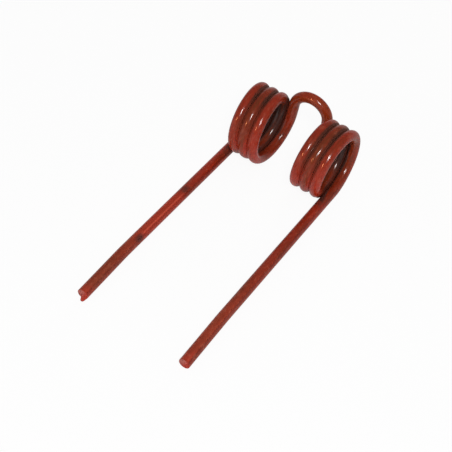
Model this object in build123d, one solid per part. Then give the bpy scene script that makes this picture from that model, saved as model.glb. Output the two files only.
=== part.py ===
from build123d import *
import os
from math import asin, atan2, cos, degrees, hypot, pi, radians, sin, tan

# A pickup tine: one length of round spring wire, bent cold and then painted.
# It runs from one free tip along a leg, round a close coil, up and over a bridge,
# and back round the mirrored coil to the other leg.
# The coils' shared axis is X, the legs point towards -Y, and the bridge stands up in +Z.
# The origin is on the coils' axis, halfway between the two coils.
# The tine lies as it comes to rest, on the undersides of its coils and its two tips.

# Wire
wire_diameter = 5.5
end_chamfer = 0.4

# Coils, from the leg at the bottom to the bridge at the back
coil_bore = 27.0
turn_gap = 0.1
whole_turns = 3
lift_off_angle = 93.6

# Bridge between the coils
bridge_opening = 14.3
arm_length = 6.9

# Coils and bridge are most of the surface. To keep the solid light, their bends are short
# straight lengths and their round section has flats, with its corners just inside the round legs
bend_step = 12.0
flats = 20
flats_inset = 0.02
run_on = 2.0

# Legs, measured from the coils' axis to the tip, of which the left one was cropped shorter
leg_length = 130.1
left_shorter_by = 1.7

# Tips, which turn down a little
tip_length = 29.5
tip_angle = 4.0
tip_bend_radius = 60.0

# Burr that the shears left standing on the left end, inside the chamfered rim.
# Its direction is turned from the inner side of the leg towards the bottom.
burr_base_diameter = 2.2
burr_tip_diameter = 1.0
burr_height = 1.3
burr_inset = 0.1
burr_direction = 65.0

# Sizes that follow from those
wire_radius = wire_diameter / 2
coil_radius = (coil_bore + wire_diameter) / 2
pitch = wire_diameter + turn_gap
coil_angle = 2 * pi * whole_turns + radians(lift_off_angle)
coil_length = pitch * coil_angle / (2 * pi)
lead_angle = atan2(pitch, 2 * pi * coil_radius)
coil_start = (bridge_opening + wire_diameter) / 2
arch_radius = (coil_start - arm_length * sin(lead_angle)) / cos(lead_angle)

ALONG = Vector(1, 0, 0)
FORWARD = Vector(0, -1, 0)
DOWN = Vector(0, 0, -1)


def radial(angle):
    """The direction from the coils' axis to a point of a turn, measured from the bottom."""
    return Vector(0, sin(angle), -cos(angle))


def onward(angle):
    """The direction in which the turn passes that point, square to the radial one."""
    return Vector(0, cos(angle), sin(angle))


def helix_place(turned):
    """Where the right coil's centre line is, that far round from the bridge's arm."""
    along = coil_start + coil_length * turned / coil_angle
    return ALONG * along + radial(coil_angle - turned) * coil_radius


class Bender:
    """Lays the wire's centre line feed by feed and bend by bend."""

    def __init__(self, point, heading):
        self.point = point
        self.heading = heading
        self.edges = []

    def feed(self, length):
        """Straight wire."""
        end = self.point + self.heading * length
        self.edges.append(Line(self.point, end).edge())
        self.point = end

    def bend_place(self, radius, towards):
        """Gives where a bend from here is at each angle turned."""
        start = self.point
        heading = self.heading

        def place(turned):
            return start + heading * (radius * sin(turned)) + towards * (radius * (1 - cos(turned)))

        return place

    def lay_arc(self, angle, radius, towards):
        """A round bend from the present heading towards a direction square to it."""
        place = self.bend_place(radius, towards)
        self.edges.append(ThreePointArc(self.point, place(angle / 2), place(angle)).edge())
        self.heading = self.heading * cos(angle) + towards * sin(angle)
        self.point = place(angle)

    def lay_steps(self, angle, place, heading):
        """Short straight lengths between the places of a bend, which leaves on a new heading."""
        steps = round(degrees(angle) / bend_step)
        corners = [place(angle * i / steps) for i in range(steps + 1)]
        self.edges.extend(Polyline(*corners).edges())
        self.heading = heading
        self.point = corners[-1]


def bent_half():
    """The centre line from the crown of the bridge, round the right coil, to its leg."""
    rise = onward(coil_angle)
    arm = rise * cos(lead_angle) - ALONG * sin(lead_angle)
    arm_top = helix_place(0) + arm * arm_length
    crown = Vector(0, arm_top.Y, arm_top.Z) + rise * (arch_radius * (1 - sin(lead_angle)))

    wire = Bender(crown, ALONG)
    wire.lay_steps(pi / 2 - lead_angle, wire.bend_place(arch_radius, -rise), -arm)
    wire.feed(arm_length)
    wire.lay_steps(coil_angle, helix_place, FORWARD)
    wire.feed(run_on)
    return wire


def leg_line(reach, start):
    """The centre line of a leg that ends that far from the coils' axis."""
    bend_reach = tip_bend_radius * tan(radians(tip_angle) / 2)
    leg = Bender(start, FORWARD)
    leg.feed(reach + start.Y - tip_length - bend_reach)
    leg.lay_arc(radians(tip_angle), tip_bend_radius, DOWN)
    leg.feed(tip_length - bend_reach)
    return leg


def swept(outline, edges):
    """Wire of that outline along those edges."""
    path = Wire(edges)
    section = Plane(origin=path @ 0, z_dir=path % 0) * outline
    return sweep(section, path, transition=Transition.RIGHT)


def coils_and_bridge(half):
    """Both coils and the bridge, mirrored about the middle."""
    mirrored = [edge.mirror(Plane.YZ) for edge in reversed(half.edges)]
    return swept(RegularPolygon(wire_radius - flats_inset, flats), mirrored + half.edges)


def cropped_leg(line):
    """A round leg on the +X side, with the rim of its cut end broken."""
    leg = swept(Circle(wire_radius), line.edges)
    cut_end = leg.faces().sort_by(Axis.Y)[0]
    return chamfer(cut_end.edges(), end_chamfer)


def burr(line):
    """The nib on the face of a leg's cut end."""
    face = Plane(origin=line.point, x_dir=-ALONG, z_dir=line.heading)
    offset = wire_radius - end_chamfer - burr_inset - burr_base_diameter / 2
    turned = radians(burr_direction)
    place = Pos(offset * cos(turned), offset * sin(turned), burr_height / 2)
    return face.location * place * Cone(burr_base_diameter / 2, burr_tip_diameter / 2, burr_height)


def resting_tilt(tip):
    """The turn about the coils' axis that lifts a tip level with the coils' undersides."""
    return degrees(asin(coil_radius / hypot(tip.Y, tip.Z)) - atan2(-tip.Z, -tip.Y))


def tine_wire():
    """The whole tine, as it lies."""
    half = bent_half()
    right_line = leg_line(leg_length, half.point)
    left_line = leg_line(leg_length - left_shorter_by, half.point)
    left_leg = (cropped_leg(left_line) + burr(left_line)).mirror(Plane.YZ)
    wire = coils_and_bridge(half) + cropped_leg(right_line) + left_leg
    return Rot(resting_tilt(right_line.point), 0, 0) * wire


os.makedirs("parts", exist_ok=True)
tine = tine_wire()
export_step(tine, "parts/tine_wire.step")
size = tine.bounding_box().size
print(f"tine_wire {size.X:.1f} x {size.Y:.1f} x {size.Z:.1f} mm, {tine.volume / 1000:.1f} cm3")
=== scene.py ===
# %% [markdown]
# # A pickup tine, bent from one wire
# A pickup tine is a spring finger of a baler or loader wagon. This one is a single length of
# round spring wire: a straight leg, a close coil, a bridge loop, the mirrored coil and the
# other leg, all dipped in glossy red paint. The lesson builds that wire the way a bending
# machine does, feed by feed and bend by bend, with Geometry Nodes. Then it paints it.
#
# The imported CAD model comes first. It is the fixed frame, so every size below is a real one
# and nothing is fitted by eye afterwards.

# %% Load the frame
import bpy
from math import atan2, cos, pi, radians, sin
from mathutils import Matrix, Vector


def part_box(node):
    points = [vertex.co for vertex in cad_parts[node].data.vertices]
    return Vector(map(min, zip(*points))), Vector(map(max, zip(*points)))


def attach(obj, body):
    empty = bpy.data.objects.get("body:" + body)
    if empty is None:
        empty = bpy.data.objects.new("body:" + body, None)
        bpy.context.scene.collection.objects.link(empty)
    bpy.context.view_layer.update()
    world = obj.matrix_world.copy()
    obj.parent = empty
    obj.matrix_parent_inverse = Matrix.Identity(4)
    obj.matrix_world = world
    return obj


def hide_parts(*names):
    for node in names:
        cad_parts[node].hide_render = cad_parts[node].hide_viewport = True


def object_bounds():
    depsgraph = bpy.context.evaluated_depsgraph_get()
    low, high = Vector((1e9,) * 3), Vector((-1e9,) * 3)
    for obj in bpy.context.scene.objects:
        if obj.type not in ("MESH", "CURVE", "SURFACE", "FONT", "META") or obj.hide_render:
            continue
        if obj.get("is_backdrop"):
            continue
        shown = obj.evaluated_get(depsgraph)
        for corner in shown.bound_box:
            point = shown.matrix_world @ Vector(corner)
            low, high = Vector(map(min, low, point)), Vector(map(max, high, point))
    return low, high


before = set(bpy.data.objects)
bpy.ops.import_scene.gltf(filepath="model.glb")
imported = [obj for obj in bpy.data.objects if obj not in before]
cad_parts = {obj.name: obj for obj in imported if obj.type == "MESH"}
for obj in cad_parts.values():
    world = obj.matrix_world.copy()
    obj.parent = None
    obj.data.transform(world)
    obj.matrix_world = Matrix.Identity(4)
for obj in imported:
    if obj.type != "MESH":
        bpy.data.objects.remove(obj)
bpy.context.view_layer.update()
lowest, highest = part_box("tine_wire")
print("CAD box in mm:", [round(value * 1000, 1) for value in (*lowest, *highest)])

# %% [markdown]
# ## The sizes of the wire
# They are the part's driving sizes, in millimetres. Blender works in metres, so `MM` turns one
# into the other. The sizes below them follow from the first ones, as they do on the bending
# machine: the pitch is the wire plus the gap between two turns, and the lead angle is the slope
# at which a turn climbs along the coil.

# %% Sizes in millimetres
MM = 0.001
WIRE_RADIUS = 2.75
COIL_RADIUS = 16.25
TURN_GAP = 0.1
COIL_TURNED = 3 * 360 + 93.6
BRIDGE_OPENING = 14.3
ARM_LENGTH = 6.9
LEG_LENGTH = 130.1
LEFT_SHORTER_BY = 1.7
LEG_BEND_RADIUS = 20.0
TIP_LENGTH = 29.5
TIP_ANGLE = 4.0
TIP_BEND_RADIUS = 60.0

pitch = 2 * WIRE_RADIUS + TURN_GAP
lead_angle = atan2(pitch, 2 * pi * COIL_RADIUS)
coil_start = BRIDGE_OPENING / 2 + WIRE_RADIUS
arch_radius = (coil_start - ARM_LENGTH * sin(lead_angle)) / cos(lead_angle)
print(f"pitch {pitch:.2f} mm, arch radius {arch_radius:.2f} mm")

# %% [markdown]
# ## Arithmetic that makes nodes
# A node tree that computes places soon has dozens of math nodes. This small class lets the script
# write the sums as plain arithmetic: each `+`, `-`, `*` or `/` adds its math node and gives back
# the output. The trees below then read like the formulas that they are.

# %% A socket that can be added and multiplied
class Figure:
    """A node's output that works in sums and products."""

    def __init__(self, tree, socket):
        self.tree = tree
        self.socket = socket

    def is_vector(self):
        return self.socket.type in {"VECTOR", "RGBA"}

    def maths(self, operation, *others):
        kind = "ShaderNodeVectorMath" if self.is_vector() else "ShaderNodeMath"
        node = self.tree.nodes.new(kind)
        node.operation = operation
        if operation == "SCALE":
            self.tree.links.new(self.socket, node.inputs[0])
            give(self.tree, others[0], node.inputs[3])
        else:
            for source, target in zip((self, *others), node.inputs):
                give(self.tree, source, target)
        output = "Value" if operation in {"LENGTH", "DOT_PRODUCT"} else 0
        return Figure(self.tree, node.outputs[output])

    def __add__(self, other):
        return self.maths("ADD", other)

    def __sub__(self, other):
        return self.maths("SUBTRACT", other)

    def __mul__(self, other):
        return self.maths("SCALE" if self.is_vector() else "MULTIPLY", other)

    def __truediv__(self, other):
        return self.maths("DIVIDE", other)

    def __radd__(self, other):
        return self + other

    def __rmul__(self, other):
        return self * other

    def __rsub__(self, other):
        return self * -1.0 + other


def give(tree, source, target):
    """Links a figure to a socket, or writes a plain value on it."""
    if isinstance(source, Figure):
        tree.links.new(source.socket, target)
    else:
        target.default_value = source


# %% [markdown]
# `node` adds one node with its settings and inputs, and `figure` hands on one of its outputs for
# the arithmetic. `new_group` starts a node group from a list of named inputs and outputs, so that
# every group below shows its sizes by name in the node editor.

# %% Helpers for node trees
SOCKETS = {"number": "NodeSocketFloat", "vector": "NodeSocketVector", "shape": "NodeSocketGeometry",
           "material": "NodeSocketMaterial", "count": "NodeSocketInt"}


def node(tree, kind, inputs=(), **settings):
    """Adds a node, sets its options, and fills its inputs by name or number."""
    made = tree.nodes.new(kind)
    for name, value in settings.items():
        setattr(made, name, value)
    for name, source in dict(inputs).items():
        give(tree, source, made.inputs[name])
    return made


def figure(tree, made, output=0):
    """One output of a node, as a figure."""
    return Figure(tree, made.outputs[output])


def new_group(name, inputs, outputs):
    """An empty node group with those named sockets, and its inputs as figures."""
    tree = bpy.data.node_groups.new(name, "GeometryNodeTree")
    for direction, sockets in (("INPUT", inputs), ("OUTPUT", outputs)):
        for label, kind in sockets.items():
            tree.interface.new_socket(label, in_out=direction, socket_type=SOCKETS[kind])
    start = tree.nodes.new("NodeGroupInput")
    end = tree.nodes.new("NodeGroupOutput")
    given = {label: figure(tree, start, label) for label in inputs}
    return tree, given, end


def use_group(tree, group, **inputs):
    """Puts a group to work in a tree. Input names are written with underscores for spaces."""
    made = node(tree, "GeometryNodeGroup", node_tree=group)
    for name, source in inputs.items():
        give(tree, source, made.inputs[name.replace("_", " ")])
    return made


def combine(tree, x, y, z):
    """A vector from three numbers."""
    return figure(tree, node(tree, "ShaderNodeCombineXYZ", {"X": x, "Y": y, "Z": z}))


def split_up(tree, vector):
    """The three numbers of a vector."""
    made = node(tree, "ShaderNodeSeparateXYZ", {0: vector})
    return [figure(tree, made, axis) for axis in "XYZ"]


def named(tree, name, data_type="FLOAT"):
    """Reads a stored attribute."""
    made = node(tree, "GeometryNodeInputNamedAttribute", {"Name": name}, data_type=data_type)
    return figure(tree, made)


def stored(tree, shape, name, value, data_type="FLOAT"):
    """Stores a value on every point under that name."""
    inputs = {"Geometry": shape, "Name": name, "Value": value}
    return figure(tree, node(tree, "GeometryNodeStoreNamedAttribute", inputs, data_type=data_type))


# %% [markdown]
# ## A row of points
# Every stretch of the wire starts as the same thing: a row of points, close together, each of
# which knows its share of the way from 0 to 1. The group also notes `along`, the length of wire
# from the bridge's crown. That attribute puts the stretches in order later, and the paint uses it.

# %% The group that makes a row of points
row_group, given, end = new_group(
    "Row of points",
    {"Length": "number", "Step": "number", "Reached": "number"},
    {"Row": "shape", "Share": "number", "Reached": "number"},
)
line = node(row_group, "GeometryNodeCurvePrimitiveLine")
gaps = (given["Length"] / given["Step"]).maths("CEIL")
row = node(row_group, "GeometryNodeResampleCurve", {"Curve": figure(row_group, line),
                                                    "Count": gaps + 1.0})
share = figure(row_group, node(row_group, "GeometryNodeSplineParameter"), "Factor")
along = given["Reached"] + given["Length"] * share
give(row_group, stored(row_group, figure(row_group, row), "along", along), end.inputs["Row"])
give(row_group, share, end.inputs["Share"])
give(row_group, given["Reached"] + given["Length"], end.inputs["Reached"])
print("group:", row_group.name)

# %% [markdown]
# ## Feed, bend and coil
# Three groups are the whole bending machine. `Feed` pushes straight wire out. `Bend` turns it
# through an arc towards a side. `Coil` winds it on the mandrel, whose axis is X. Each takes the
# point and the heading where the wire has got to, and hands the new ones to the next.

# %% Feed
feed_group, given, end = new_group(
    "Feed",
    {"Start": "vector", "Heading": "vector", "Length": "number", "Reached": "number",
     "Step": "number"},
    {"Wire": "shape", "Start": "vector", "Heading": "vector", "Reached": "number"},
)
row = use_group(feed_group, row_group, Length=given["Length"], Step=given["Step"],
                Reached=given["Reached"])
place = given["Start"] + given["Heading"] * (given["Length"] * figure(feed_group, row, "Share"))
fed = node(feed_group, "GeometryNodeSetPosition", {"Geometry": figure(feed_group, row, "Row"),
                                                   "Position": place})
give(feed_group, figure(feed_group, fed), end.inputs["Wire"])
give(feed_group, given["Start"] + given["Heading"] * given["Length"], end.inputs["Start"])
give(feed_group, given["Heading"], end.inputs["Heading"])
give(feed_group, figure(feed_group, row, "Reached"), end.inputs["Reached"])

# %% Bend
bend_group, given, end = new_group(
    "Bend",
    {"Start": "vector", "Heading": "vector", "Towards": "vector", "Radius": "number",
     "Angle": "number", "Reached": "number", "Step": "number"},
    {"Wire": "shape", "Start": "vector", "Heading": "vector", "Reached": "number"},
)


def bend_place(turned):
    """Where the bend has got to after that angle."""
    forward = given["Heading"] * (given["Radius"] * turned.maths("SINE"))
    sideways = given["Towards"] * (given["Radius"] * (1.0 - turned.maths("COSINE")))
    return given["Start"] + forward + sideways


row = use_group(bend_group, row_group, Length=given["Radius"] * given["Angle"], Step=given["Step"],
                Reached=given["Reached"])
bent = node(bend_group, "GeometryNodeSetPosition", {
    "Geometry": figure(bend_group, row, "Row"),
    "Position": bend_place(given["Angle"] * figure(bend_group, row, "Share")),
})
ahead = given["Heading"] * given["Angle"].maths("COSINE")
aside = given["Towards"] * given["Angle"].maths("SINE")
give(bend_group, figure(bend_group, bent), end.inputs["Wire"])
give(bend_group, bend_place(given["Angle"] + 0.0), end.inputs["Start"])
give(bend_group, ahead + aside, end.inputs["Heading"])
give(bend_group, figure(bend_group, row, "Reached"), end.inputs["Reached"])

# %% Coil
coil_group, given, end = new_group(
    "Coil",
    {"Start X": "number", "Radius": "number", "Pitch": "number", "Angle": "number",
     "Lead Angle": "number", "Reached": "number", "Step": "number"},
    {"Wire": "shape", "Start": "vector", "Heading": "vector", "Reached": "number"},
)
turn_length = given["Radius"] * given["Angle"] / given["Lead Angle"].maths("COSINE")
row = use_group(coil_group, row_group, Length=turn_length, Step=given["Step"],
                Reached=given["Reached"])
turned = given["Angle"] * figure(coil_group, row, "Share")
left_to_turn = given["Angle"] - turned
on_mandrel = combine(
    coil_group,
    given["Start X"] + given["Pitch"] * turned / (2 * pi),
    given["Radius"] * left_to_turn.maths("SINE"),
    given["Radius"] * left_to_turn.maths("COSINE") * -1.0,
)
wound = node(coil_group, "GeometryNodeSetPosition", {"Geometry": figure(coil_group, row, "Row"),
                                                     "Position": on_mandrel})
last_x = given["Start X"] + given["Pitch"] * given["Angle"] / (2 * pi)
give(coil_group, figure(coil_group, wound), end.inputs["Wire"])
give(coil_group, combine(coil_group, last_x, 0.0, given["Radius"] * -1.0), end.inputs["Start"])
leaving = combine(coil_group, given["Lead Angle"].maths("SINE"),
                  given["Lead Angle"].maths("COSINE") * -1.0, 0.0)
give(coil_group, leaving, end.inputs["Heading"])
give(coil_group, figure(coil_group, row, "Reached"), end.inputs["Reached"])
print("groups:", feed_group.name, bend_group.name, coil_group.name)

# %% [markdown]
# ## The cropped end
# Shears cut the wire, so its end is nearly flat with a softened rim. This row continues the
# wire by a fraction of a millimetre, while its `swell`, the share of the wire's full radius,
# shrinks: first round the rim, then in rings across the face. The rings close the end and give
# the face enough points to carry the marks of the shears.

# %% The group for a cropped end
end_group, given, end = new_group(
    "Cropped end",
    {"Start": "vector", "Heading": "vector", "Wire Radius": "number", "Rim": "number",
     "Crown": "number", "Reached": "number"},
    {"Wire": "shape"},
)
RING_STEP = 1 / 18
row = use_group(end_group, row_group, Length=1.0, Step=RING_STEP, Reached=0.0)
share = figure(end_group, row, "Share")
# The rim takes the first third of the rings and the face the rest. The last ring stays open a
# little, so that its points never fall together.
LAST_RING_SHRINK = 0.985
round_rim = (share * 3.0).maths("MINIMUM", 1.0) * (pi / 2)
across_face = (share * 1.5 - 0.5).maths("MAXIMUM", 0.0)
rim_out = given["Rim"] * round_rim.maths("SINE")
crown_out = given["Crown"] * across_face * (2.0 - across_face)
rim_in = given["Rim"] / given["Wire Radius"] * (1.0 - round_rim.maths("COSINE"))
swell = (1.0 - rim_in) * (1.0 - across_face * LAST_RING_SHRINK)
wire_end = stored(end_group, figure(end_group, row, "Row"), "along",
                  given["Reached"] + rim_out + crown_out)
wire_end = stored(end_group, wire_end, "swell", swell)
wire_end = stored(end_group, wire_end, "cropped", share.maths("SIGN"))
place = given["Start"] + given["Heading"] * (rim_out + crown_out)
laid = node(end_group, "GeometryNodeSetPosition", {"Geometry": wire_end, "Position": place})
give(end_group, figure(end_group, laid), end.inputs["Wire"])
print("group:", end_group.name)

# %% [markdown]
# ## One half of the tine
# The half starts at the bridge's crown and runs outwards: arch, arm, coil, the small bend that
# straightens the leg, the leg, the tip's bend, the tip and its cropped end. The two halves differ
# only in the length of the leg, so one group serves both.

# %% The group for one half
SHARED_SIZES = (
    "Wire Radius", "Coil Radius", "Pitch", "Coil Angle", "Lead Angle", "Coil Start", "Arm Length",
    "Arch Radius", "Leg Bend Radius", "Tip Length", "Tip Angle", "Tip Bend Radius", "Rim", "Crown",
    "Step",
)
half_group, given, end = new_group(
    "Half of the tine",
    dict.fromkeys((*SHARED_SIZES, "Leg Length"), "number"),
    {"Wire": "shape", "Tip": "vector"},
)
lead_sine = given["Lead Angle"].maths("SINE")
lead_cosine = given["Lead Angle"].maths("COSINE")
coil_sine = given["Coil Angle"].maths("SINE")
coil_cosine = given["Coil Angle"].maths("COSINE")

rise = combine(half_group, 0.0, coil_cosine, coil_sine)
outward = combine(half_group, 0.0, coil_sine, coil_cosine * -1.0)
sideways = combine(half_group, 1.0, 0.0, 0.0)
climb = given["Arm Length"] * lead_cosine + given["Arch Radius"] * (1.0 - lead_sine)
crown_point = outward * given["Coil Radius"] + rise * climb

pieces = []


def lay(group, before=None, **inputs):
    """Lays the next stretch where the one before it ended."""
    if before is not None:
        inputs.update(Reached=figure(half_group, before, "Reached"))
        if group is not coil_group:
            inputs.setdefault("Heading", figure(half_group, before, "Heading"))
            inputs.update(Start=figure(half_group, before, "Start"))
    if group is not end_group:
        inputs.update(Step=given["Step"])
    made = use_group(half_group, group, **inputs)
    pieces.append(figure(half_group, made, "Wire"))
    return made


arch = lay(bend_group, Start=crown_point, Heading=sideways, Towards=rise * -1.0,
           Radius=given["Arch Radius"], Angle=pi / 2 - given["Lead Angle"], Reached=0.0)
arm = lay(feed_group, arch, Length=given["Arm Length"])
coil = lay(coil_group, arm, Start_X=given["Coil Start"], Radius=given["Coil Radius"],
           Pitch=given["Pitch"], Angle=given["Coil Angle"], Lead_Angle=given["Lead Angle"])
inward = combine(half_group, lead_cosine * -1.0, lead_sine * -1.0, 0.0)
straightened = lay(bend_group, coil, Towards=inward, Radius=given["Leg Bend Radius"],
                   Angle=given["Lead Angle"])

bend_reach = given["Tip Bend Radius"] * (given["Tip Angle"] * 0.5).maths("TANGENT")
leg_start = split_up(half_group, figure(half_group, straightened, "Start"))[1]
leg = lay(feed_group, straightened,
          Length=given["Leg Length"] - given["Tip Length"] - bend_reach + leg_start)
downward = combine(half_group, 0.0, 0.0, -1.0)
tip_bend = lay(bend_group, leg, Towards=downward, Radius=given["Tip Bend Radius"],
               Angle=given["Tip Angle"])
tip = lay(feed_group, tip_bend,
          Length=given["Tip Length"] - bend_reach - given["Rim"] - given["Crown"])
lay(end_group, tip, Wire_Radius=given["Wire Radius"], Rim=given["Rim"], Crown=given["Crown"])

joined = node(half_group, "GeometryNodeJoinGeometry")
for piece in pieces:
    half_group.links.new(piece.socket, joined.inputs[0])
give(half_group, figure(half_group, joined), end.inputs["Wire"])
face_out = figure(half_group, tip, "Heading") * (given["Rim"] + given["Crown"])
give(half_group, figure(half_group, tip, "Start") + face_out, end.inputs["Tip"])
print(len(pieces), "stretches of wire in each half")

# %% [markdown]
# ## How sheltered a place is
# Painted shade, with some dust, and the painted bounce light in the grooves in front go where the
# wire is enclosed: in the grooves between two turns and inside the coils. This group measures that.
# From each point it sends one ray straight out, three that lean further and further to each side,
# and one that leans each way along the wire. A ray that meets wire adds to the shelter, the more
# the nearer the wire is. Rays that lean by different angles start to meet the next turn one after
# the other, which makes the edge of the groove's painted dark band soft.

# %% The group that measures shelter
shelter_group, given, end = new_group(
    "Shelter",
    {"Surface": "shape", "Heading": "vector", "Far": "number"},
    {"Shelter": "number"},
)
SIDE_LEANS = (0.5, 1.0, 2.0)
RAY_LIFT = 0.02 * MM
facing = figure(shelter_group, node(shelter_group, "GeometryNodeInputNormal"))
here = figure(shelter_group, node(shelter_group, "GeometryNodeInputPosition"))
beside = facing.maths("CROSS_PRODUCT", given["Heading"])
rays = [facing, facing + given["Heading"], facing - given["Heading"]]
for lean in SIDE_LEANS:
    rays.extend([facing + beside * lean, facing - beside * lean])
shelter = None
for ray in rays:
    cast = node(shelter_group, "GeometryNodeRaycast", {
        "Target Geometry": given["Surface"],
        "Source Position": here + facing * RAY_LIFT,
        "Ray Direction": ray.maths("NORMALIZE"),
        "Ray Length": given["Far"],
    })
    nearness = 1.0 - figure(shelter_group, cast, "Hit Distance") / given["Far"]
    met = nearness * figure(shelter_group, cast, "Is Hit")
    shelter = met if shelter is None else shelter + met
give(shelter_group, shelter / float(len(rays)), end.inputs["Shelter"])
print(len(rays), "rays from each point")

# %% [markdown]
# ## The whole tine
# The right half is made as it is, the left one is made with its shorter leg and mirrored. All the
# points then go into one curve, sorted by `along`, and a circle is swept along it. Before the
# sweep, the circle notes its own two coordinates. After it, every point of the surface knows where
# it was on the straight wire, before any bend: `unbent` holds that place in millimetres, and the
# paint's streaks follow the wire through every turn because they read it.
#
# The shears left a burr on the left end. It is a lip that is pushed out of the face near the
# wire's lower rim, so the ring points of that end move forward there, by a hump with a blunt top.

# %% The main tree
LEG_SIZES = ("Leg Length", "Left Shorter By")
FINISH_SIZES = (
    "Burr Height", "Burr Width", "Burr Offset", "Burr Angle", "Shear Marks", "Waviness", "Seed",
    "Fillet Reach", "Fillet Height", "Shelter Reach",
)
tine_tree, given, end = new_group(
    "Pickup tine",
    {"Geometry": "shape", **dict.fromkeys((*SHARED_SIZES, *LEG_SIZES, *FINISH_SIZES), "number"),
     "Facets": "count", "Paint": "material"},
    {"Geometry": "shape"},
)

shared = {name.replace(" ", "_"): given[name] for name in SHARED_SIZES}
left_leg_length = given["Leg Length"] - given["Left Shorter By"]
right = use_group(tine_tree, half_group, Leg_Length=given["Leg Length"], **shared)
left = use_group(tine_tree, half_group, Leg_Length=left_leg_length, **shared)
mirrored = node(tine_tree, "GeometryNodeTransform", {"Geometry": figure(tine_tree, left, "Wire"),
                                                     "Scale": (-1.0, 1.0, 1.0)})
left_along = named(tine_tree, "along") * -1.0
left_wire = stored(tine_tree, figure(tine_tree, mirrored), "along", left_along)

halves = node(tine_tree, "GeometryNodeJoinGeometry")
tine_tree.links.new(figure(tine_tree, right, "Wire").socket, halves.inputs[0])
tine_tree.links.new(left_wire.socket, halves.inputs[0])
dots = node(tine_tree, "GeometryNodeCurveToPoints", {"Curve": figure(tine_tree, halves)},
            mode="EVALUATED")
single_dots = node(tine_tree, "GeometryNodeMergeByDistance", {"Geometry": figure(tine_tree, dots),
                                                              "Distance": 0.0002 * MM})
one_line = node(tine_tree, "GeometryNodePointsToCurves", {"Points": figure(tine_tree, single_dots),
                                                          "Weight": named(tine_tree, "along")})

# %% [markdown]
# A tine on a table rests on the undersides of its coils and on its tips. The legs leave the coils
# at their undersides but turn down near the tips, so the whole wire tips back a little about the
# coils' axis until both touch. The angle comes from the tip's own place.

# %% Tilt the wire to its rest
_, tip_y, tip_z = split_up(tine_tree, figure(tine_tree, right, "Tip"))
tip_far = (tip_y * tip_y + tip_z * tip_z).maths("SQRT")
level = (given["Coil Radius"] / tip_far).maths("ARCSINE")
fallen = (tip_z * -1.0).maths("ARCTAN2", tip_y * -1.0)
tilt = level - fallen
about_x = combine(tine_tree, tilt, 0.0, 0.0)
rotation = node(tine_tree, "FunctionNodeEulerToRotation", {"Euler": about_x})
resting = node(tine_tree, "GeometryNodeTransform", {"Geometry": figure(tine_tree, one_line),
                                                    "Rotation": figure(tine_tree, rotation)})
tangent = figure(tine_tree, node(tine_tree, "GeometryNodeInputTangent"))
centre_line = stored(tine_tree, figure(tine_tree, resting), "heading", tangent, "FLOAT_VECTOR")

# %% Sweep the round section along it
section = node(tine_tree, "GeometryNodeCurvePrimitiveCircle", {"Resolution": given["Facets"],
                                                               "Radius": given["Wire Radius"]})
here = figure(tine_tree, node(tine_tree, "GeometryNodeInputPosition"))
section_x, section_y, _ = split_up(tine_tree, here)
outline = stored(tine_tree, figure(tine_tree, section), "section_x", section_x)
outline = stored(tine_tree, outline, "section_y", section_y)
on_wire = 1.0 - named(tine_tree, "cropped")
radius_share = named(tine_tree, "swell") + on_wire * (1.0 - named(tine_tree, "swell"))
swept = node(tine_tree, "GeometryNodeCurveToMesh", {"Curve": centre_line, "Profile Curve": outline,
                                                    "Scale": radius_share, "Fill Caps": True})
before_bending = combine(tine_tree, named(tine_tree, "along"), named(tine_tree, "section_x"),
                         named(tine_tree, "section_y")) * (1 / MM)
surface = stored(tine_tree, figure(tine_tree, swept), "unbent", before_bending, "FLOAT_VECTOR")

# %% [markdown]
# Drawn wire is never a perfect cylinder, and thick paint adds its own slow waves, which break the
# highlights up. A smooth noise, read at `unbent` and stretched along the wire, moves the surface
# in and out by a few hundredths of a millimetre. The cut faces get a rougher one.

# %% Waves, shear marks and the burr
unbent = named(tine_tree, "unbent", "FLOAT_VECTOR")
facing = figure(tine_tree, node(tine_tree, "GeometryNodeInputNormal"))
WAVES_TO_THE_MM = (0.09, 0.28, 0.28)
seeded = unbent.maths("MULTIPLY", WAVES_TO_THE_MM) + combine(tine_tree, given["Seed"], 0.0, 0.0)
waves = node(tine_tree, "ShaderNodeTexNoise", {"Vector": seeded, "Scale": 1.0, "Detail": 2.0})
wave_height = (figure(tine_tree, waves, "Fac") - 0.5) * given["Waviness"]
wavy = node(tine_tree, "GeometryNodeSetPosition", {"Geometry": surface,
                                                   "Offset": facing * wave_height})

marks = node(tine_tree, "ShaderNodeTexNoise", {"Vector": here * (1 / MM), "Scale": 0.9,
                                               "Detail": 3.0})
cropped = named(tine_tree, "cropped")
mark_height = (figure(tine_tree, marks, "Fac") - 0.5) * given["Shear Marks"] * cropped
left_tip_x, left_tip_y, left_tip_z = split_up(tine_tree, figure(tine_tree, left, "Tip"))
left_tip_x = left_tip_x * -1.0
floor_drop = tilt.maths("SINE") * left_tip_y + tilt.maths("COSINE") * left_tip_z
here_x, _, here_z = split_up(tine_tree, here)
aside = here_x - (left_tip_x + given["Burr Offset"] * given["Burr Angle"].maths("COSINE"))
below = here_z - (floor_drop - given["Burr Offset"] * given["Burr Angle"].maths("SINE"))
away = (aside * aside + below * below) / (given["Burr Width"] * given["Burr Width"])
on_left = (here_x * -1.0).maths("SIGN").maths("MAXIMUM", 0.0)
hump = (away * away * -1.0).maths("EXPONENT") * given["Burr Height"] * cropped * on_left
outwards = named(tine_tree, "heading", "FLOAT_VECTOR") * here_x.maths("SIGN")
cut = node(tine_tree, "GeometryNodeSetPosition", {"Geometry": figure(tine_tree, wavy),
                                                  "Offset": outwards * (mark_height + hump)})
surface = figure(tine_tree, cut)

# %% [markdown]
# Where two turns nearly touch, thick paint runs into the groove and leaves a fillet. A ray
# straight out of each point finds the next turn. Where it is near, the point moves away from the
# coils' axis, and so the groove gets shallower. In the bores the paint ran off, so the points that
# look towards the axis stay. Those are marked as well: `bore` is 1 there.

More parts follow.
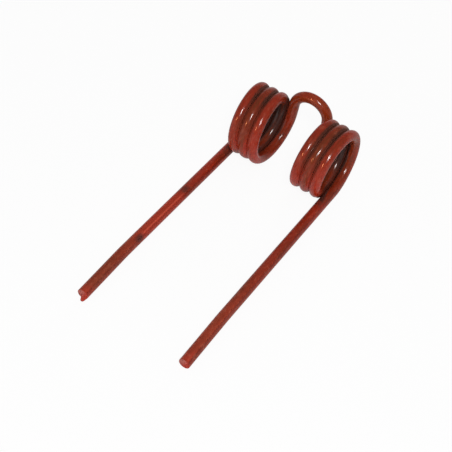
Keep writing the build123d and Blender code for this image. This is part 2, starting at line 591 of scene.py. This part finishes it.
# %% Fillets of paint in the grooves
_, here_y, here_z = split_up(tine_tree, here)
from_axis = combine(tine_tree, 0.0, here_y, here_z)
lean = facing.maths("DOT_PRODUCT", from_axis.maths("NORMALIZE"))
next_turn = node(tine_tree, "GeometryNodeRaycast", {
    "Target Geometry": surface,
    "Source Position": here + facing * RAY_LIFT,
    "Ray Direction": facing,
    "Ray Length": given["Fillet Reach"],
})
nearness = 1.0 - figure(tine_tree, next_turn, "Hit Distance") / given["Fillet Reach"]
outside = lean.maths("SIGN").maths("MAXIMUM", 0.0)
filled = nearness * figure(tine_tree, next_turn, "Is Hit") * given["Fillet Height"] * outside
paint_depth = from_axis.maths("NORMALIZE") * filled
filleted = node(tine_tree, "GeometryNodeSetPosition", {"Geometry": surface,
                                                       "Offset": paint_depth})
outermost = given["Coil Radius"] + given["Wire Radius"] * 1.05
in_coil = (outermost - from_axis.maths("LENGTH")).maths("SIGN").maths("MAXIMUM", 0.0)
bore = (lean * -1.4 - 0.2).maths("MAXIMUM", 0.0).maths("MINIMUM", 1.0) * in_coil
surface = stored(tine_tree, figure(tine_tree, filleted), "bore", bore)

# %% Measure the shelter, then finish the tree
shelter = use_group(tine_tree, shelter_group, Surface=surface, Far=given["Shelter Reach"],
                    Heading=named(tine_tree, "heading", "FLOAT_VECTOR"))
surface = stored(tine_tree, surface, "shelter", figure(tine_tree, shelter))
smooth = node(tine_tree, "GeometryNodeSetShadeSmooth", {"Geometry": surface})
painted = node(tine_tree, "GeometryNodeSetMaterial", {"Geometry": figure(tine_tree, smooth),
                                                      "Material": given["Paint"]})
real = node(tine_tree, "GeometryNodeRealizeInstances", {"Geometry": figure(tine_tree, painted)})
give(tine_tree, figure(tine_tree, real), end.inputs["Geometry"])
print(len(tine_tree.nodes), "nodes in the main tree")

# %% [markdown]
# ## The paint
# The tine was dipped, so the paint is thick, glossy and uneven: deep red-brown where it is thin
# over dark steel. Painted light makes it brighter red on the front, and painted shade makes it
# nearly black in the grooves and bores. One Principled shader with a clear coat gives the gloss.
# Its colour, roughness and bump come from noises that are read at `unbent`, so streaks run along
# the wire and turn with it, and from `shelter`.
#
# The next helpers are the shader's versions of those above.

# %% Helpers for the paint
def attribute(tree, name, output="Fac"):
    """Reads an attribute of the mesh in a shader."""
    return figure(tree, node(tree, "ShaderNodeAttribute", attribute_name=name), output)


def noise(tree, place, stretch, detail=2.0, roughness=0.5, shift=0.0):
    """A smooth noise from 0 to 1 at that place, with so many waves to the millimetre each way."""
    spot = place.maths("MULTIPLY", stretch).maths("ADD", (shift, shift, shift))
    made = node(tree, "ShaderNodeTexNoise", {"Vector": spot, "Scale": 1.0, "Detail": detail,
                                             "Roughness": roughness})
    return figure(tree, made, "Fac")


def between(tree, value, low, high):
    """0 below the low value, 1 above the high one, and a soft step between them."""
    made = node(tree, "ShaderNodeMapRange", {"Value": value, "From Min": low, "From Max": high},
                interpolation_type="SMOOTHSTEP")
    return figure(tree, made)


def mixed(tree, share, first, second):
    """A colour between two colours."""
    made = node(tree, "ShaderNodeMix", data_type="RGBA")
    give(tree, share, made.inputs[0])
    for source, socket in ((first, made.inputs[6]), (second, made.inputs[7])):
        give(tree, source if isinstance(source, Figure) else (*source, 1.0), socket)
    return figure(tree, made, 2)


def linear(red, green, blue):
    """A colour as a screen shows it, from 0 to 255, turned into the light that it stands for."""
    return tuple(((value / 255 + 0.055) / 1.055) ** 2.4 for value in (red, green, blue))


def on_length(tree, value, begins, ends):
    """1 on one length of the wire, fading in and out between each pair of places."""
    return between(tree, value, *begins) * (1.0 - between(tree, value, *ends))


# %% Where things are on the wire
paint = bpy.data.materials.new("painted_wire")
paint.use_nodes = True
tree = paint.node_tree
shader = tree.nodes["Principled BSDF"]

unbent = attribute(tree, "unbent", "Vector")
along, section_x, section_y = split_up(tree, unbent)
along_left = along * -1.0
from_crown = along.maths("ABSOLUTE")
on_coil = between(tree, from_crown, 22.0, 36.0)
shelter = attribute(tree, "shelter")
bore = attribute(tree, "bore") * on_coil
cut_face = attribute(tree, "cropped")
place = figure(tree, node(tree, "ShaderNodeTexCoord"), "Object") * (1 / MM)
place_x, place_y, place_z = split_up(tree, place)

# %% [markdown]
# First the red itself. The tine was dipped once, so the red drifts slowly between a deep and a
# fresh tone, with fine streaks along the wire and brown patches where the steel shows through.
# Painted light makes it brighter on the front of the coils, and brighter still low down there. It's
# brownest on the middle turns and the bridge. Crop has dulled the legs towards the tips, but
# patches at the very tips are fresh, and painted shade lays a darker band along the +X flank of
# each leg. A fine mottle of dark and pale specks, a millimetre or two across, lies over it all.

# %% The red
DEEP_RED = linear(124, 40, 16)
FRESH_RED = linear(158, 44, 24)
# Painted light on the front and low down, and also the fresh red of the legs and tips.
LIT_AND_FRESH_RED = linear(182, 50, 32)
BRIDGE_BROWN = linear(142, 58, 22)
BROWN = linear(108, 46, 20)
DULL_RED = linear(164, 82, 58)
# Painted shade along the legs' +X flanks.
FLANK_SHADE_RED = linear(92, 26, 22)
DARK_SPECK = linear(72, 26, 18)
PALE_SPECK = linear(176, 100, 76)
leg_x = coil_start + pitch * COIL_TURNED / 360
coil_middle = (coil_start + leg_x) / 2

patches = between(tree, noise(tree, unbent, (0.03, 0.12, 0.12), detail=3.0), 0.35, 0.65)
streaks = between(tree, noise(tree, unbent, (0.05, 0.9, 0.9), detail=4.0, shift=7.0), 0.35, 0.7)
thin_places = noise(tree, unbent, (0.06, 0.35, 0.35), detail=3.0, shift=23.0)
thin_paint = between(tree, thin_places, 0.5, 0.72)
# Painted light: where the front of the coils is brighter, and more so low down.
lit_front = between(tree, place_y * -1.0, 5.0, 18.0)
lit_front = lit_front * (1.0 - between(tree, from_crown, 345.0, 365.0))
lit_front = lit_front * between(tree, place_z * -1.0, -14.0, 6.0)
lit_low_front = lit_front * between(tree, place_z * -1.0, 3.0, 12.0)
on_bridge = 1.0 - between(tree, from_crown, 14.0, 34.0)
LEG_BEGINS = (345.0, 360.0)
on_leg = on_length(tree, from_crown, LEG_BEGINS, (420.0, 450.0))
leg_root = on_length(tree, along_left, LEG_BEGINS, (375.0, 400.0))
at_tip = between(tree, from_crown + streaks * 4.0, 477.0, 484.0)
# Where the painted shade band runs on each leg's +X flank, as a share of the wire's radius.
FLANK_PLACE = 0.76
across_leg = (place_x - place_x.maths("SIGN") * leg_x) / WIRE_RADIUS
shaded_leg_flank = 1.0 - between(tree, (across_leg - FLANK_PLACE).maths("ABSOLUTE"), 0.05, 0.25)
shaded_leg_flank = shaded_leg_flank * between(tree, from_crown, *LEG_BEGINS)
off_middle = (place_x.maths("ABSOLUTE") - coil_middle).maths("ABSOLUTE")
middle_turns = 1.0 - between(tree, off_middle, 1.0, 6.0)
middle_turns = middle_turns * (1.0 - between(tree, from_crown, 300.0, 345.0))
dulled = between(tree, from_crown + patches * 20.0, 380.0, 490.0)

red = mixed(tree, patches * 0.6 + streaks * 0.3, DEEP_RED, FRESH_RED)
# Painted light: the front of the coils, brighter still low down.
red = mixed(tree, lit_front * 0.5, red, LIT_AND_FRESH_RED)
red = mixed(tree, lit_low_front * 0.4 + on_leg * 0.2 + leg_root * 0.25, red, LIT_AND_FRESH_RED)
red = mixed(tree, thin_paint * 0.5 + middle_turns * 0.4, red, BROWN)
red = mixed(tree, on_bridge * (0.2 + streaks * 0.6), red, BRIDGE_BROWN)
red = mixed(tree, dulled * (0.2 + streaks * 0.2), red, DULL_RED)
red = mixed(tree, at_tip * patches * 0.7, red, LIT_AND_FRESH_RED)
# Painted shade: a darker band along the +X flank of each leg.
red = mixed(tree, shaded_leg_flank * 0.42, red, FLANK_SHADE_RED)

mottle = noise(tree, unbent, (0.4, 0.7, 0.7), detail=3.0, shift=41.0)
red = mixed(tree, (1.0 - between(tree, mottle, 0.3, 0.5)) * 0.2, red, DARK_SPECK)
red = mixed(tree, between(tree, mottle, 0.52, 0.72) * 0.25, red, PALE_SPECK)

# %% [markdown]
# Then the grooves and bores. The grooves on top of the coils turn dark brown, less in front and
# least on the left coil, and so do the grooves that are neither on top nor in front: painted shade,
# with some dust. The grooves in front, outside the bores, turn bright crimson: painted bounce
# light. The bores turn browner, and their grooves and their back turn a dark, blotchy painted
# shade, deeper away from each coil's +X end. Each coil's turn on the +X side keeps its red inside,
# apart from its groove.

# %% Grooves and bores
# Painted shade, with some dust, for the grooves.
DUST_AND_SHADE = linear(76, 47, 38)
# Painted bounce light for the grooves in front.
BOUNCE_LIT_RED = linear(172, 46, 28)
# Painted shade for the bores.
BORE_SHADE = linear(60, 42, 38)
# Where the wire's centre is at the +X end of each coil.
RIGHT_COIL_END_X = 28.2
LEFT_COIL_END_X = -9.9

blotches = between(tree, noise(tree, unbent, (0.15, 0.3, 0.3), detail=3.0, shift=57.0), 0.4, 0.6)
sheltered = shelter + streaks * 0.05 - blotches * 0.06
in_groove = between(tree, sheltered, 0.0, 0.22) * between(tree, from_crown, 10.0, 24.0)
on_top = between(tree, place_z + streaks * 3.0, -6.0, 14.0)
in_front_groove = between(tree, place_y * -1.0, 2.0, 10.0) * between(tree, place_z, -15.0, -6.0)
left_side = between(tree, place_x * -1.0, 4.0, 10.0)
less_dark_front = between(tree, place_y * -1.0, 2.0, 10.0) * (0.2 + left_side * 0.25)
# Painted shade, with some dust: dark brown in the grooves on top, less in front and least in front
# of the left coil.
red = mixed(tree, in_groove * on_top * (0.9 - less_dark_front), red, DUST_AND_SHADE)
# Painted bounce light: bright crimson in the grooves in front, outside the bores.
bounce_lit_groove = in_groove * in_front_groove * (1.0 - on_top) * (1.0 - bore)
red = mixed(tree, bounce_lit_groove * 0.6, red, BOUNCE_LIT_RED)
# Painted shade, with some dust, in the grooves that are neither on top nor in front.
below = in_groove * (1.0 - on_top) * (1.0 - in_front_groove)
red = mixed(tree, below * 0.55, red, DUST_AND_SHADE)

ends_apart = RIGHT_COIL_END_X - LEFT_COIL_END_X
ends_middle = (RIGHT_COIL_END_X + LEFT_COIL_END_X) / 2
end_x = place_x.maths("SIGN") * (ends_apart / 2) + ends_middle
deeper = between(tree, end_x - place_x, 2.0, 6.0)
at_back = between(tree, place_y + streaks * 3.0, 5.0, 14.0)
# Painted shade in the bores: browner everywhere, darker at their back, darkest away from each
# coil's +X end and in their grooves.
red = mixed(tree, bore * (0.3 + at_back * 0.3), red, BROWN)
red = mixed(tree, bore * at_back * deeper * (0.75 + blotches * 0.25), red, BORE_SHADE)
shaded_bore_groove = bore * at_back * between(tree, sheltered, 0.0, 0.08)
red = mixed(tree, shaded_bore_groove * 0.75, red, BORE_SHADE)
red = mixed(tree, bore * in_groove * (0.45 + blotches * 0.4), red, BORE_SHADE)

# %% [markdown]
# Last come the marks on single places: the cut faces, two dark scuffs on the left leg and the
# bright run of paint between them, with a painted highlight line along one side of the run. Each is
# placed on the straight wire: so many millimetres from the crown, minus for the left leg, and
# towards which side of the section.

# %% Marks
CUT_RED = linear(172, 60, 48)
CUT_PALE = linear(176, 108, 100)
SCUFF = linear(70, 40, 34)
PAINT_RUN = linear(190, 54, 32)
# Painted highlight: the colour and section angle of a thin bright line along the run.
RUN_HIGHLIGHT = linear(206, 84, 62)
HIGHLIGHT_ANGLE = radians(28.0)
SCUFFS = (((-443.2, 1.8, -2.06), 2.5, 0.8), ((-404.9, 0.56, -2.67), 2.6, 0.6))
FACE_MIDDLE_Z = -16.3


def spot(centre, size):
    """1 at that place on the straight wire, fading to 0 at that distance."""
    off = unbent.maths("SUBTRACT", centre).maths("MULTIPLY", (0.55, 1.0, 1.0))
    return 1.0 - between(tree, off.maths("LENGTH") + streaks * 0.4, size * 0.3, size)


run_length = on_length(tree, along_left, (404.0, 412.0), (438.0, 448.0))
# Painted highlight: a thin bright line along one side of the run.
off_highlight = (section_x.maths("ARCTAN2", section_y * -1.0) - HIGHLIGHT_ANGLE).maths("ABSOLUTE")
highlight_line = 1.0 - between(tree, off_highlight, radians(4.0), radians(12.0))
red = mixed(tree, run_length * 0.4, red, PAINT_RUN)
red = mixed(tree, run_length * highlight_line * 0.7, red, RUN_HIGHLIGHT)
for centre, size, darkness in SCUFFS:
    red = mixed(tree, spot(centre, size) * darkness, red, SCUFF)
towards_pale = (place_z - FACE_MIDDLE_Z) * 0.5 - across_leg * WIRE_RADIUS + patches
pale_side = between(tree, towards_pale, -1.0, 2.6)
red = mixed(tree, cut_face * 0.9, red, mixed(tree, pale_side * 0.85, CUT_RED, CUT_PALE))
give(tree, red, shader.inputs["Base Color"])

# %% Relief and gloss
orange_peel = noise(tree, unbent, (0.5, 0.8, 0.8), detail=2.0, shift=3.0)
drawn_lines = noise(tree, unbent, (0.03, 2.2, 2.2), detail=3.0, shift=11.0)
relief = orange_peel * 0.7 + drawn_lines * 0.3
bump = node(tree, "ShaderNodeBump", {"Height": relief, "Strength": 0.4, "Distance": 0.03 * MM})
tree.links.new(bump.outputs["Normal"], shader.inputs["Normal"])
tree.links.new(bump.outputs["Normal"], shader.inputs["Coat Normal"])

roughness = 0.32 + streaks * 0.12 + in_groove * 0.15 + cut_face * 0.2 + dulled * 0.15
give(tree, roughness, shader.inputs["Roughness"])
shader.inputs["Specular IOR Level"].default_value = 0.03
FULL_COAT = 0.2
dry = in_groove * on_top * (1.0 - bore) * 1.2 + shaded_bore_groove * 0.6 + cut_face
give(tree, FULL_COAT * (1.0 - dry.maths("MINIMUM", 1.0)), shader.inputs["Coat Weight"])
shader.inputs["Coat IOR"].default_value = 1.8
shader.inputs["Coat Roughness"].default_value = 0.15
print(len(tree.nodes), "nodes in the paint")

# %% [markdown]
# ## Run the tree and keep a plain mesh
# A modifier shows the tree's inputs under hidden names, so the script looks each one up by its
# identifier. After the run, `new_from_object` copies the evaluated wire into a plain mesh, and the
# object that carried the modifier is deleted. The lengths are turned into metres as they go in.

# %% Build the wire
lengths = {
    "Wire Radius": WIRE_RADIUS, "Coil Radius": COIL_RADIUS, "Pitch": pitch,
    "Coil Start": coil_start, "Arm Length": ARM_LENGTH, "Arch Radius": arch_radius,
    "Leg Bend Radius": LEG_BEND_RADIUS, "Leg Length": LEG_LENGTH,
    "Left Shorter By": LEFT_SHORTER_BY, "Tip Length": TIP_LENGTH,
    "Tip Bend Radius": TIP_BEND_RADIUS, "Rim": 0.45, "Crown": 0.15, "Step": 1.0,
    "Burr Height": 1.8, "Burr Width": 1.15, "Burr Offset": 2.1, "Shear Marks": 0.25,
    "Waviness": 0.08, "Fillet Reach": 2.2, "Fillet Height": 0.8, "Shelter Reach": 12.0,
}
tine_sizes = {name: length * MM for name, length in lengths.items()}
tine_sizes.update({
    "Coil Angle": radians(COIL_TURNED), "Lead Angle": lead_angle, "Tip Angle": radians(TIP_ANGLE),
    "Burr Angle": radians(66.0), "Facets": 48, "Seed": 4.0, "Paint": paint,
})
carrier = bpy.data.objects.new("carrier", bpy.data.meshes.new("carrier"))
bpy.context.collection.objects.link(carrier)
modifier = carrier.modifiers.new("Pickup tine", "NODES")
modifier.node_group = tine_tree
for socket in tine_tree.interface.items_tree:
    if socket.item_type == "SOCKET" and socket.in_out == "INPUT" and socket.name in tine_sizes:
        modifier[socket.identifier] = tine_sizes[socket.name]

evaluated = carrier.evaluated_get(bpy.context.evaluated_depsgraph_get())
wire_mesh = bpy.data.meshes.new_from_object(evaluated)
wire_mesh.name = "pickup_tine_wire"
bpy.data.objects.remove(carrier)
pickup_tine = bpy.data.objects.new("pickup_tine_wire", wire_mesh)
bpy.context.collection.objects.link(pickup_tine)
places = [vertex.co for vertex in wire_mesh.vertices]
spans = [(min(p[i] for p in places), max(p[i] for p in places)) for i in range(3)]
rounded = [[round(value / MM, 2) for value in span] for span in spans]
print(len(wire_mesh.polygons), "faces; in mm:", rounded)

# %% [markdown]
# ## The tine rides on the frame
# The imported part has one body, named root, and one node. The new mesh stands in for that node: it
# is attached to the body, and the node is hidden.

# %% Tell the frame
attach(pickup_tine, "root")
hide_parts("tine_wire")

# %% [markdown]
# ## The floor
# The photo's background is plain white. Here a pale floor lies under the tine. To the camera, and
# in the wire's gloss, most of its light is a plain white, so it looks white, and the rest is its
# lit surface, so the tine's soft shadow stays.

# %% Floor
FLOOR_HALF = 3.0
floor_height = lowest[2]
CORNER_SIGNS = ((-1, -1), (1, -1), (1, 1), (-1, 1))
corners = [(x * FLOOR_HALF, y * FLOOR_HALF, floor_height) for x, y in CORNER_SIGNS]
floor_mesh = bpy.data.meshes.new("floor")
floor_mesh.from_pydata(corners, [], [(0, 1, 2, 3)])
floor = bpy.data.objects.new("floor", floor_mesh)
bpy.context.collection.objects.link(floor)

floor_paper = bpy.data.materials.new("floor_paper")
floor_paper.use_nodes = True
tree = floor_paper.node_tree
lit = tree.nodes["Principled BSDF"]
lit.inputs["Base Color"].default_value = (0.97, 0.97, 0.97, 1.0)
lit.inputs["Roughness"].default_value = 0.9
white = node(tree, "ShaderNodeEmission", {"Strength": 1.0})
path = node(tree, "ShaderNodeLightPath")
either = figure(tree, path, "Is Camera Ray").maths("MAXIMUM", figure(tree, path, "Is Glossy Ray"))
either = either.maths("MAXIMUM", figure(tree, path, "Is Transmission Ray"))
WHITE_SHARE = 0.92
blend = node(tree, "ShaderNodeMixShader")
give(tree, either * WHITE_SHARE, blend.inputs[0])
tree.links.new(lit.outputs[0], blend.inputs[1])
tree.links.new(white.outputs[0], blend.inputs[2])
tree.links.new(blend.outputs[0], tree.nodes["Material Output"].inputs["Surface"])
floor_mesh.materials.append(floor_paper)
floor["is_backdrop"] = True

# %% [markdown]
# ## Light
# The glints on the real tine tell where its light stood. The white ones lie where the wire faces
# the camera, so a flash stood close to it. The small orange ones lie lower down, as a weak warm
# lamp in front of the legs makes them. Paint that faces the floor mirrors it pale, and paint that
# faces up mirrors very little, so the walls and the ceiling were dim.

# %% World
world = bpy.data.worlds.new("studio")
bpy.context.scene.world = world
world.use_nodes = True
tree = world.node_tree
background = tree.nodes["Background"]
direction = figure(tree, node(tree, "ShaderNodeTexCoord"), "Generated")
upwards = split_up(tree, direction)[2]
PALE_FLOOR = (1.0, 1.0, 1.0)
DIM_WALLS = (0.32, 0.32, 0.32)
surroundings = mixed(tree, between(tree, upwards, 0.0, 0.3), PALE_FLOOR, DIM_WALLS)
give(tree, surroundings, background.inputs["Color"])
background.inputs["Strength"].default_value = 1.0

# %% [markdown]
# A lamp's `level` is its share of the light that shows a colour as it is written, so from the front
# the flash and the surroundings add up to about 1. The fill does for the back what the flash does
# for the front. It would mirror as a pale band along every turn, so it is left out of the gloss.
# The two glint lamps are the opposite: they are bright and small, are seen only in the gloss, and
# light nothing else.

# %% Lamps
def lamp(name, direction, distance, width, level, colour=(1.0, 1.0, 1.0), lights=True,
         mirrors=True):
    """A square lamp that faces the coils from that direction."""
    light = bpy.data.lights.new(name, "AREA")
    light.shape = "SQUARE"
    light.size = width
    light.energy = level * (pi * distance) ** 2
    light.color = colour
    made = bpy.data.objects.new(name, light)
    away = Vector(direction).normalized()
    made.location = away * distance
    made.rotation_euler = away.to_track_quat("Z", "Y").to_euler()
    made.visible_camera = False
    made.visible_diffuse = lights
    made.visible_glossy = mirrors
    bpy.context.collection.objects.link(made)
    print(f"{name}: {light.energy:.2f} W")


FLASH_FROM = (0.285, -0.587, 0.757)
WARM_FROM = (-0.3, -0.85, 0.42)
BEHIND = (-0.1, 0.95, 0.2)
WARM_LIGHT = (1.0, 0.38, 0.16)
lamp("flash", FLASH_FROM, distance=0.8, width=0.22, level=0.5)
lamp("fill", BEHIND, distance=1.2, width=0.5, level=0.35, mirrors=False)
lamp("flash_glint", FLASH_FROM, distance=0.79, width=0.2, level=0.8, lights=False)
lamp("warm_glint", WARM_FROM, distance=0.7, width=0.1, level=0.45, colour=WARM_LIGHT, lights=False)

# %% [markdown]
# ## Camera
# The camera stands where the photographer did. Its place, its turn and its lens come from
# matching the wire's real sizes to the picture: it looks down at the tine from the legs' side.

# %% Camera
CAMERA_PLACE = (0.140926, -0.346556, 0.360529)
CAMERA_RIGHT = (0.82541, 0.5521, 0.11782)
CAMERA_UP = (-0.48744, 0.59172, 0.64208)
LENS = 83.157
SENSOR = 36.0

camera_data = bpy.data.cameras.new("camera")
camera_data.lens = LENS
camera_data.sensor_width = SENSOR
camera_data.clip_start = 0.01
camera = bpy.data.objects.new("camera", camera_data)
right = Vector(CAMERA_RIGHT).normalized()
up = Vector(CAMERA_UP).normalized()
back = right.cross(up)
turned = Matrix((right, up, back)).transposed().to_4x4()
camera.matrix_world = Matrix.Translation(CAMERA_PLACE) @ turned
bpy.context.collection.objects.link(camera)
bpy.context.scene.camera = camera
bpy.context.scene.view_settings.view_transform = "Standard"
print("camera looks along", [round(value, 3) for value in -back])

# %% [markdown]
# ## Measure and finish
# The script prints the finished tine's box in millimetres, after the CAD box that it printed at the
# start.

# %% Print the finished box
def plain(box):
    """A box as plain lists of numbers."""
    return [[float(value) for value in corner] for corner in box]


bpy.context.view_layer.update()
rounded = [[round(value / MM, 1) for value in corner] for corner in plain(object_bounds())]
print("visual box in mm:", rounded)
